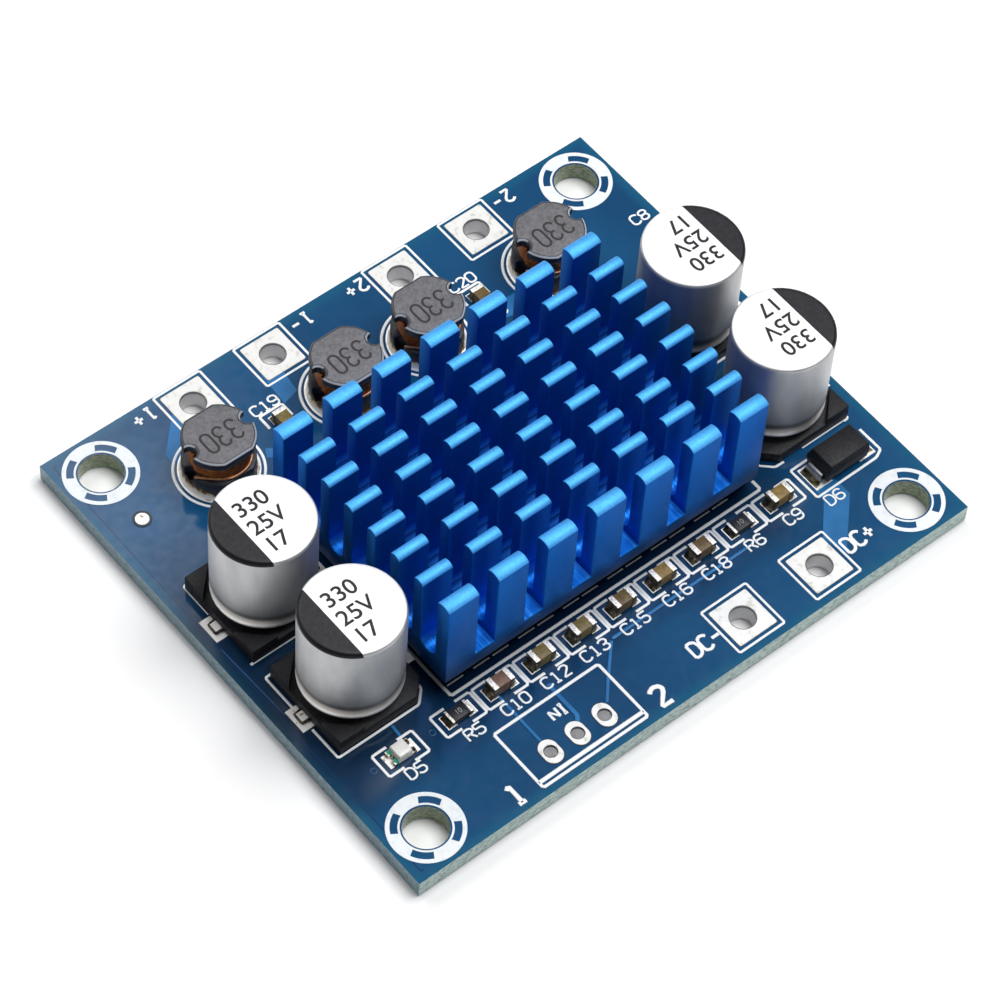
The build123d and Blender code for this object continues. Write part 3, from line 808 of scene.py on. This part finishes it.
# The amplifier chip, the diode and the capacitor bases: black epoxy or plastic mouldings with a
# fine matt skin, eased at their edges. The diode's moulding draws in towards its top, so that
# it leaves the mould.
moulding = mottled(
    "black_moulding", (0.25, 4), (0.3, (0.005, 0.005, 0.0065)), (0.7, (0.014, 0.0145, 0.0175)),
    gloss=(0.42, 0.6, 0.2, 3), bumps=(0.004, 0.08, 3), specular=0.25,
)
dress(moulding, "amplifier_chip_body")
diode = eased_copy("diode_body", "diode_moulding", 0.035, "moulding", moulding)
above_all = 13
shifted(diode, 3.1, above_all, (0.08, -0.06, 0), (0.945, 0.95, 1), (21.4, chip_row_y, 3.5))
for number in (1, 2, 3, 4):
    eased_copy(f"capacitor_base_{number}", f"capacitor_foot_{number}", 0.07, "capacitor_base", moulding)


# The four electrolytic capacitors: aluminium cans, deep drawn and rolled in near the bottom to grip
# the rubber seal. The top is lacquered white with a black sector on the negative side, and plain
# numbers are printed beside it.
can_foot, can_height, sector_edge = 3.2, 11.8, 1.78
black_from, white_from = 11.5, 11.7

can_side = Finish("satin_aluminium_can", metallic=0.88)
drawn = can_side.grain(1.1, 3, (1, 1, 3))
plain_side = can_side.shades(drawn, (0.3, (0.5, 0.505, 0.51)), (0.7, (0.58, 0.585, 0.59)))
off_foot = can_side.axes()[2] - can_foot
# Near the foot the side is painted by height: dark bands above and below the rolled bead, painted shade, and
# a bright band on its crest, a painted highlight.
foot_painted_light = can_side.shades(
    off_foot * 0.5,
    (0.05, (0.05, 0.055, 0.07)), (0.15, (0.14, 0.15, 0.18)), (0.21, (0.88, 0.87, 0.85)),
    (0.29, (0.97, 0.95, 0.92)), (0.37, (0.6, 0.57, 0.53)), (0.5, (0.33, 0.31, 0.29)),
    (0.62, (0.21, 0.205, 0.2)), (0.72, (0.15, 0.15, 0.155)), (0.84, (0.25, 0.255, 0.26)),
    (1.0, (0.41, 0.415, 0.42)),
)
can_side.paint(can_side.between((off_foot * (1 / 1.2) - 1.55).held(), foot_painted_light, plain_side))
can_side.gloss(can_side.grain(0.3, 3, (1, 1, 6)), 0.44, 0.52)
can_side.relief(can_side.grain(0.2, 3, (1, 1, 5)), 0.0015)

can_top = mottled(
    "white_can_top", (0.5, 3), (0.3, (0.88, 0.88, 0.89)), (0.7, 0.95),
    bumps=(0.002, 0.3), roughness=0.4, metallic=0.3,
)

black_ink = Finish("black_can_ink", 0.42, specular=0.3)
ink = black_ink.shades(black_ink.grain(0.3, 3), (0.3, (0.007, 0.007, 0.01)), (0.7, (0.018, 0.018, 0.023)))
# Where the ink turns down, at the top's rounded edge and the letters' sides, it is painted nearly black:
# painted shade.
black_ink.paint(black_ink.between(black_ink.facing()[2] < 0.93, ink, (0.002, 0.002, 0.004)))
black_ink.relief(black_ink.grain(0.15, 3), 0.003)

can_profile = [
    (3.55, 3.2), (3.78, 3.25), (3.92, 3.36), (3.985, 3.5), (4.0, 3.62), (3.985, 3.72), (3.94, 3.84),
    (3.88, 4.0), (3.82, 4.18), (3.79, 4.35), (3.84, 4.48), (3.95, 4.6), (4.0, 4.72), (4.0, 8.0),
    (4.0, 11.42), (3.97, 11.6), (3.88, 11.72), (3.75, 11.785), (3.62, 11.8), (3.5, 11.8),
]


def turned_up(name, x, y, profile):
    """A round form grown from its foot: each step of the profile is a radius and a height."""
    radius, level = profile[0]
    bpy.ops.mesh.primitive_circle_add(vertices=72, radius=radius, fill_type="NGON", location=(x, y, level))
    piece = bpy.context.object
    piece.name = name
    opened(piece)
    for wide, high in profile[1:]:
        bpy.ops.mesh.extrude_region_move(TRANSFORM_OT_translate={"value": (0, 0, high - level)})
        bpy.ops.transform.resize(value=(wide / radius, wide / radius, 1), center_override=(x, y, high))
        radius, level = wide, high
    closed_up(True)
    bpy.ops.object.shade_smooth_by_angle(angle=math.radians(40))
    return piece


def printed_words(name, words, size, wide, spot, top, turn, finish, thickness=0.012, bold=0.0):
    """Plain print of the built-in letter, laid on a flat top."""
    shape = bpy.data.curves.new(name, "FONT")
    shape.body = words
    shape.size = size
    shape.align_x = shape.align_y = "CENTER"
    shape.extrude = thickness / 2
    shape.offset = bold
    piece = meshed(shape, finish)
    piece.scale = (wide, 1, 1)
    bpy.ops.object.transform_apply(location=False, rotation=False, scale=True)
    piece.rotation_euler = (0, 0, math.radians(turn))
    piece.location = (*spot, top + thickness / 2 - 0.003)
    return settle(piece)


cans = [(-20.4, 3.15, -1), (-20.15, -6.8, -1), (20.5, 3.3, 1), (20.7, -6.82, 1)]
for number, (x, y, side) in enumerate(cans, 1):
    can = turned_up(f"capacitor_can_skin_{number}", x, y, can_profile)
    for finish in (can_side, can_top, black_ink):
        can.data.materials.append(finish.material)
    bpy.ops.object.transform_apply(location=True, rotation=True, scale=True)
    opened(can)
    bpy.ops.mesh.bisect(plane_co=(x + side * sector_edge, y, 0), plane_no=(1, 0, 0))
    closed_up()
    for face in can.data.polygons:
        if face.center.z > black_from and (face.center.x - x) * side > sector_edge:
            face.material_index = 2
        elif face.center.z > white_from:
            face.material_index = 1
    settle(can)
    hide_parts(f"capacitor_can_{number}")
    turn = 0 if side < 0 else 180
    for row, (words, shift) in enumerate((("330", -0.05), ("25V", -0.1), ("17", 0.42))):
        spot = (x + side * shift, y - side * (1.52 - 1.87 * row))
        printed_words(
            f"can_print_{number}_{row + 1}", words, 1.86, 1.02, spot, can_height, turn, black_ink,
            bold=0.022,
        )


# The four inductors: pressed ferrite drums with a notch at each end, wound with enamelled copper
# wire. The wire's ends come down through the notches to two crescents, where
# they are soldered. Numbers are burnt into the top.
drum_top = 6.1

ferrite = Finish("grey_ferrite")
sideways, lengthways, high = ferrite.axes()
_, forward, upward = ferrite.facing("True Normal")
specks = ferrite.grain(0.25, 4)
side_black = ferrite.shades(specks, (0.3, (0.008, 0.009, 0.014)), (0.7, (0.022, 0.024, 0.034)))
top_grey = ferrite.shades(
    specks, (0.3, (0.085, 0.085, 0.093)), (0.5, (0.12, 0.12, 0.131)), (0.7, (0.155, 0.155, 0.166)),
)
off_middle = abs(abs(sideways) - (drum_far + drum_near) / 2) - (drum_far - drum_near) / 2
inward = lengthways - drum_y
to_round = 2.85 - far(off_middle, inward)
to_flat = 2.55 - abs(inward)
to_notch = far(abs(off_middle) - 2.725, inward) - 0.575
inset = to_round.least(to_flat).least(to_notch)
# The pressed line is painted nearly black: painted shade in its groove.
press_line = (high > drum_top - 0.2) * (abs(inset - 0.175) < 0.035)
# Only the top flange's upward faces are grey. The lower flange's upward faces stay black, partly its own
# black and partly painted shade.
faces_up = (upward > 0.5) * (high > drum_top - 0.4)
# On the chamfer round the top, faces turned to the front are painted light grey, a painted highlight, and the
# rest dark, painted shade.
chamfer_band = faces_up * (upward < 0.85)
chamfer_painted_light = ferrite.between(forward < -0.12, (0.045, 0.047, 0.055), (0.36, 0.39, 0.43))
edged = ferrite.between(chamfer_band, ferrite.between(faces_up, side_black, top_grey), chamfer_painted_light)
ferrite.paint(ferrite.between(press_line, edged, (0.012, 0.012, 0.018)))
ferrite.relief(1.0 - press_line, 0.03)
ferrite.gloss(specks, 0.38, 0.55)
ferrite.relief(ferrite.grain(0.12, 3), 0.01)

burnt_print = mottled(
    "brown_burnt_numbers", (0.15, 3), (0.3, (0.01, 0.007, 0.009)), (0.7, (0.028, 0.02, 0.022)), roughness=0.6,
)
enamel = mottled(
    "copper_wire_enamel", (0.4, 3), (0.3, (0.16, 0.045, 0.01)), (0.7, (0.42, 0.14, 0.03)),
    roughness=0.3, metallic=0.7,
)
# The wire's end run round the front of the drum's foot is painted lighter than the enamelled turns: painted
# highlight.
wire_end_painted_lighter = mottled(
    "copper_wire_painted_lighter", (0.4, 3), (0.3, (0.36, 0.15, 0.06)), (0.7, (0.66, 0.34, 0.18)),
    roughness=0.32, metallic=0.6,
)
solder = mottled(
    "bright_solder", (0.5, 3), (0.3, (0.86, 0.84, 0.79)), (0.55, (0.98, 0.97, 0.95)),
    bumps=(0.02, 0.5), roughness=0.35, metallic=0.3,
)
flux = mottled(
    "burnt_flux", (0.3, 3), (0.3, (0.1, 0.045, 0.012)), (0.7, (0.32, 0.19, 0.06)),
    bumps=(0.02, 0.2, 3), roughness=0.3,
)
climbing = Finish("solder_with_burnt_edge", 0.35, 0.25)
rise = climbing.axes()[2] + climbing.grain(0.35, 3) * 0.9
climbing.paint(climbing.shades(
    rise * 0.5 - 0.85, (0.36, (0.95, 0.93, 0.88)), (0.46, (0.8, 0.68, 0.44)),
    (0.54, (0.25, 0.14, 0.04)), (0.68, (0.03, 0.022, 0.018)),
))
climbing.relief(climbing.grain(0.3, 3), 0.02)


def wire(name, points, radius, finish):
    """A run of round wire along a smooth path."""
    shape = pen(name, radius, 2)
    shape.resolution_u = 3
    path = add_line(shape, points, False, "NURBS")
    path.order_u = 3
    path.use_endpoint_u = True
    piece = meshed(shape, finish)
    bpy.ops.object.shade_smooth()
    return settle(piece)


def climbing_solder(name, x, y, way, seed):
    """A fillet round one end of a drum's foot: a sheet of squares, bent and drawn up its side."""
    bpy.ops.mesh.primitive_grid_add(x_subdivisions=26, y_subdivisions=6, size=1, location=(0, 0, 0))
    piece = bpy.context.object
    piece.name = name
    for corner in piece.data.vertices:
        sweep = math.radians(112 * corner.co.x + way + 180)
        up = corner.co.y + 0.5
        ragged = 1 + 0.22 * math.sin(9 * sweep + seed) + 0.12 * math.sin(23 * sweep + 2 * seed)
        ends = max(0.0, 1 - (2 * abs(corner.co.x)) ** 4)
        radius = 3.13 - 0.3 * up ** 0.55 * (0.4 + 0.6 * ends)
        level = 1.7 + 0.92 * up ** 1.7 * ends * ragged
        corner.co = (x + radius * math.cos(sweep), y + radius * math.sin(sweep), level)
    opened(piece)
    closed_up(True)
    wall = piece.modifiers.new("wall", "SOLIDIFY")
    wall.thickness = 0.05
    bpy.ops.object.modifier_apply(modifier="wall")
    bpy.ops.object.shade_smooth_by_angle(angle=math.radians(60))
    piece.data.materials.append(climbing.material)
    return settle(piece)


for number, (x, y) in enumerate(drums):
    drum = str(number + 1)
    core = eased_copy("inductor_core_" + drum, "ferrite_drum_" + drum, 0.05, "ferrite", ferrite, flatten=4)
    shifted(core, 4.85, 5.5, (0, 0, 0.3))
    for end, way in (("b", 0), ("a", 180)):
        climbing_solder(f"drum_fillet_{drum}{end}", x, y, way, number)
    eased_copy("inductor_terminals_" + drum, "drum_solder_" + drum, 0.05, "solder", solder, flatten=3)
    turns = []
    for step in range(24 * 6 + 1):
        angle = math.radians(180 + 15 * step)
        turns.append((x + 2.25 * math.cos(angle), y + 2.25 * math.sin(angle), 3.66 + 0.265 * step / 24))
    wound = wire("winding_wire_" + drum, turns, 0.15, enamel)
    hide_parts("inductor_winding_" + drum)
    lead = [
        (x - 2.76, y - 0.62, 3.63), (x - 2.3, y - 1.1, 3.65), (x - 1.5, y - 1.85, 3.66),
        (x - 0.8, y - 2.36, 3.66), (x + 0.2, y - 2.5, 3.67), (x + 1.1, y - 2.3, 3.7),
        (x + 1.75, y - 1.8, 3.76), (x + 2.15, y - 1.2, 3.86), (x + 2.25, y - 0.6, 4.0),
    ]
    wire("winding_end_" + drum, lead, 0.12, wire_end_painted_lighter)
    burnt = written("330", x + 0.08, y - 0.29, 1.84, 180, 0.42, 1.46)
    drawn_lines("drum_print_" + drum, burnt, 0.19, drum_top - 0.005, drum_top + 0.008, burnt_print)
    stain = []
    for step in range(72):
        angle = math.radians(5 * step)
        wobble = 2.95 + 0.09 * math.sin(7 * angle + number) + 0.06 * math.sin(17 * angle + 2 * number)
        stain.append((x + wobble * math.cos(angle), y + wobble * math.sin(angle)))
    flat_shape("flux_" + drum, [stain, round_loop((x, y), 2.5, 40)], 1.7, 1.745, 0.012, flux)


# The small ceramic parts: fired ceramic blocks with silvered ends, soldered to two lands each. The
# capacitors are brown to olive and their colour differs from piece to piece. The two
# resistors are flat, with a black glaze and a tiny number on top.
# Solder painted nearly black: painted shade and painted reflection of the dark parts round it, on the chips'
# end faces, the shaded fillets and the seams at the flat terminals.
dark_painted_solder = mottled(
    "solder_painted_dark", (0.4, 3), (0.38, (0.02, 0.018, 0.014)), (0.56, (0.09, 0.078, 0.05)),
    (0.7, (0.3, 0.27, 0.2)), gloss=(0.28, 0.45, 0.2), bumps=(0.012, 0.3, 3), metallic=0.8,
)
silver_end = mottled(
    "tinned_silver_end", (0.14, 3), (0.34, (0.2, 0.18, 0.14)), (0.41, (0.66, 0.62, 0.55)),
    (0.62, (0.9, 0.88, 0.83)), bumps=(0.01, 0.15), metallic=0.4,
)


def ceramic(name, dark, light):
    bumps = (0.004, 0.1)
    return mottled(name, (0.3, 3), (0.3, dark), (0.7, light), bumps=bumps, roughness=0.4, specular=0.25)


rose = ceramic("ceramic_rose_brown", (0.11, 0.06, 0.038), (0.2, 0.11, 0.072))
olive = ceramic("ceramic_olive", (0.11, 0.083, 0.024), (0.2, 0.15, 0.05))
brown = ceramic("ceramic_brown", (0.085, 0.055, 0.017), (0.155, 0.1, 0.034))
golden_brown = ceramic("ceramic_golden", (0.17, 0.105, 0.026), (0.29, 0.19, 0.058))
glaze = ceramic("black_resistor_glaze", (0.01, 0.01, 0.012), (0.024, 0.024, 0.028))
pale_ink = ceramic("pale_resistor_ink", (0.24, 0.24, 0.23), (0.36, 0.36, 0.34))


def silvered(piece, x, y, turned, ends):
    """The caps' tops take the second finish, from a clean line across, and their sides the third."""
    axis, middle = (1, y) if turned else (0, x)
    across = Vector((not turned, turned, 0))
    for way in (-1, 1):
        opened(piece)
        bpy.ops.mesh.bisect(plane_co=across * (middle + way * ends) / 1000, plane_no=across)
        closed_up()
    for face in piece.data.polygons:
        if abs(face.center[axis] * 1000 - middle) > ends:
            face.material_index = 2 if abs(face.normal.z) < 0.6 else 1


def fillet(name, end, wide, high, reach):
    """A solder fillet that runs up a chip's end from its land, drawn out in four steps."""
    land_level, sunk = 1.64, 0.03
    where, middle = end - sunk, land_level + high / 2
    bpy.ops.mesh.primitive_plane_add(size=1, location=(where, 0, middle), rotation=(0, math.pi / 2, 0))
    piece = bpy.context.object
    piece.name = name
    piece.scale = (high, wide, 1)
    bpy.ops.object.transform_apply(location=True, rotation=True, scale=True)
    opened(piece)
    steps = ((0.07, 0.8, 1.02), (0.08, 0.66, 1.03), (0.1, 0.48, 1.04), (reach - 0.22, 0.12, 1.02))
    for ahead, lower, wider in steps:
        bpy.ops.mesh.extrude_region_move(TRANSFORM_OT_translate={"value": (ahead, 0, 0)})
        where += ahead
        bpy.ops.transform.resize(value=(1, wider, lower), center_override=(where, 0, land_level))
    closed_up(True)
    rounded(piece, 0.03, 2, 50, 60)
    piece.data.materials.append(dark_painted_solder.material)
    return piece


def fillets(group, spots, high):
    """The same fillet at both ends of every chip of a group."""
    pattern = fillet(group, 0.95, 1.02, high, 0.33)
    count = 0
    for x, y, turned in spots:
        for way in (0, 180):
            count += 1
            twin = placed(f"{group}_{count}", pattern.data.copy())
            # The fillet at the right-hand end of each chip in the row takes the bright solder and all others
            # the dark one: painted light and painted shade on one solder.
            if way == 0 and not turned:
                twin.data.materials[0] = solder.material
            twin.rotation_euler = (0, 0, math.radians(way + (90 if turned else 0)))
            twin.location = (x, y, 0)
            settle(twin)
    bpy.data.objects.remove(pattern)


chips = [(x, chip_row_y, False) for x in chip_row[1:7] + chip_row[8:]]
chips += [(x, rear_chip_y, True) for x in (-rear_chip_x, rear_chip_x)]
tones = (rose, olive, olive, brown, golden_brown, brown, golden_brown, olive, brown)
for number, ((x, y, turned), tone) in enumerate(zip(chips, tones), 1):
    name = f"chip_capacitor_{number}"
    chip = eased_copy(name, f"ceramic_chip_{number}", 0.05, "chip_capacitor", tone, silver_end, dark_painted_solder)
    silvered(chip, x, y, turned, 0.64)
fillets("capacitor_fillet", chips, 0.72)

resistors = [(x, chip_row_y, False) for x in (chip_row[0], chip_row[7])]
for number, (x, y, turned) in enumerate(resistors, 1):
    name = f"chip_resistor_{number}"
    chip = eased_copy(name, f"glazed_chip_{number}", 0.04, "chip_resistor", glaze, silver_end, dark_painted_solder)
    silvered(chip, x, y, turned, 0.74)
    name = f"resistor_print_{number}"
    printed_words(name, "10", 0.62, 0.9, (x, y), 2.15, 0, pale_ink, 0.008)
fillets("resistor_fillet", resistors, 0.34)


# The solder at the flat terminals: a dark hollow seam, painted shade and painted reflection, that
# runs round each terminal's end on its land, and at the diode a wide golden one, drawn up the bent lead.
for number, name in enumerate(numbered("capacitor_terminals", 4), 1):
    (left, front, _), (right, back, _) = box_mm(name)
    for end, way in ((left, -1), (right, 1)):
        root, inner = end - way * 0.6, end - way * 0.05
        seam = [
            (root, front - 0.2), (end + way * 0.1, front - 0.15), (end + way * 0.16, front + 0.1),
            (end + way * 0.13, back - 0.1), (end + way * 0.08, back + 0.13), (root, back + 0.24),
            (root, back - 0.03), (inner, back - 0.03), (inner, front + 0.03), (root, front + 0.03),
        ]
        name = f"terminal_seam_{number}" + ("a" if way < 0 else "b")
        flat_shape(name, [seam[::way]], 1.62, 1.83, 0.03, dark_painted_solder)

golden = mottled(
    "golden_solder", (0.5, 3, (1, 1.6, 1)), (0.36, (0.035, 0.028, 0.012)), (0.5, (0.26, 0.2, 0.08)),
    (0.62, (0.62, 0.55, 0.38)), (0.72, (0.85, 0.82, 0.74)),
    gloss=(0.2, 0.4, 0.3), bumps=(0.02, 0.4, 3), metallic=0.8,
)
bent_lead = mottled(
    "dull_tinned_lead", (0.4, 3, (1, 2, 1)), (0.3, (0.2, 0.21, 0.22)), (0.7, (0.42, 0.43, 0.44)),
    bumps=(0.01, 0.25), roughness=0.4, metallic=0.9,
)
leads = eased_copy("diode_leads", "diode_bent_leads", 0.03, "tinned", bent_lead)
shifted(leads, 2.2, above_all, (0, 0, -0.3))
left, right = [corner[0] for corner in box_mm("diode_leads")]
for way, foot in ((180, left), (0, right)):
    seam = fillet(f"lead_seam_{way}", 0.0, 1.7, 0.42, 0.42)
    seam.data.materials[0] = golden.material
    seam.rotation_euler = (0, 0, math.radians(way))
    seam.location = (foot, chip_row_y, 0)
    settle(seam)


# The indicator lamp: a white moulded base with a clear lens over the die and a green tick
# at one end. The two tinned ends are soldered down.
lamp_base = mottled(
    "white_lamp_base", (0.2, 3), (0.3, (0.62, 0.6, 0.52)), (0.7, (0.76, 0.74, 0.68)), roughness=0.4,
)
lamp_lens = mottled(
    "clear_lamp_lens", (0.3, 3), (0.3, (0.8, 0.79, 0.74)), (0.7, (0.92, 0.9, 0.86)), roughness=0.15,
)
lamp_lens.shader.inputs["Transmission Weight"].default_value = 0.12

lamp_ends = Finish("lamp_end_solder", 0.3, 0.8)
sideways, lengthways, _ = lamp_ends.axes()
soldered = lamp_ends.shades(
    lamp_ends.grain(0.32),
    (0.42, (0.02, 0.018, 0.014)), (0.52, (0.3, 0.26, 0.18)), (0.58, (0.85, 0.84, 0.8)),
)
tick = (abs(sideways + 21.58) < 0.12) * (abs(lengthways - chip_row_y) > 0.22)
lamp_ends.paint(lamp_ends.between(tick, soldered, (0.0, 0.3, 0.2)))
lamp_ends.relief(lamp_ends.grain(0.25), 0.015)
dress(lamp_ends, "lamp_terminals")
eased_copy("lamp_base", "lamp_plate", 0.04, "lamp_base", lamp_base)
eased_copy("lamp_lens", "lamp_window", 0.08, "lamp_lens", lamp_lens, segments=3)
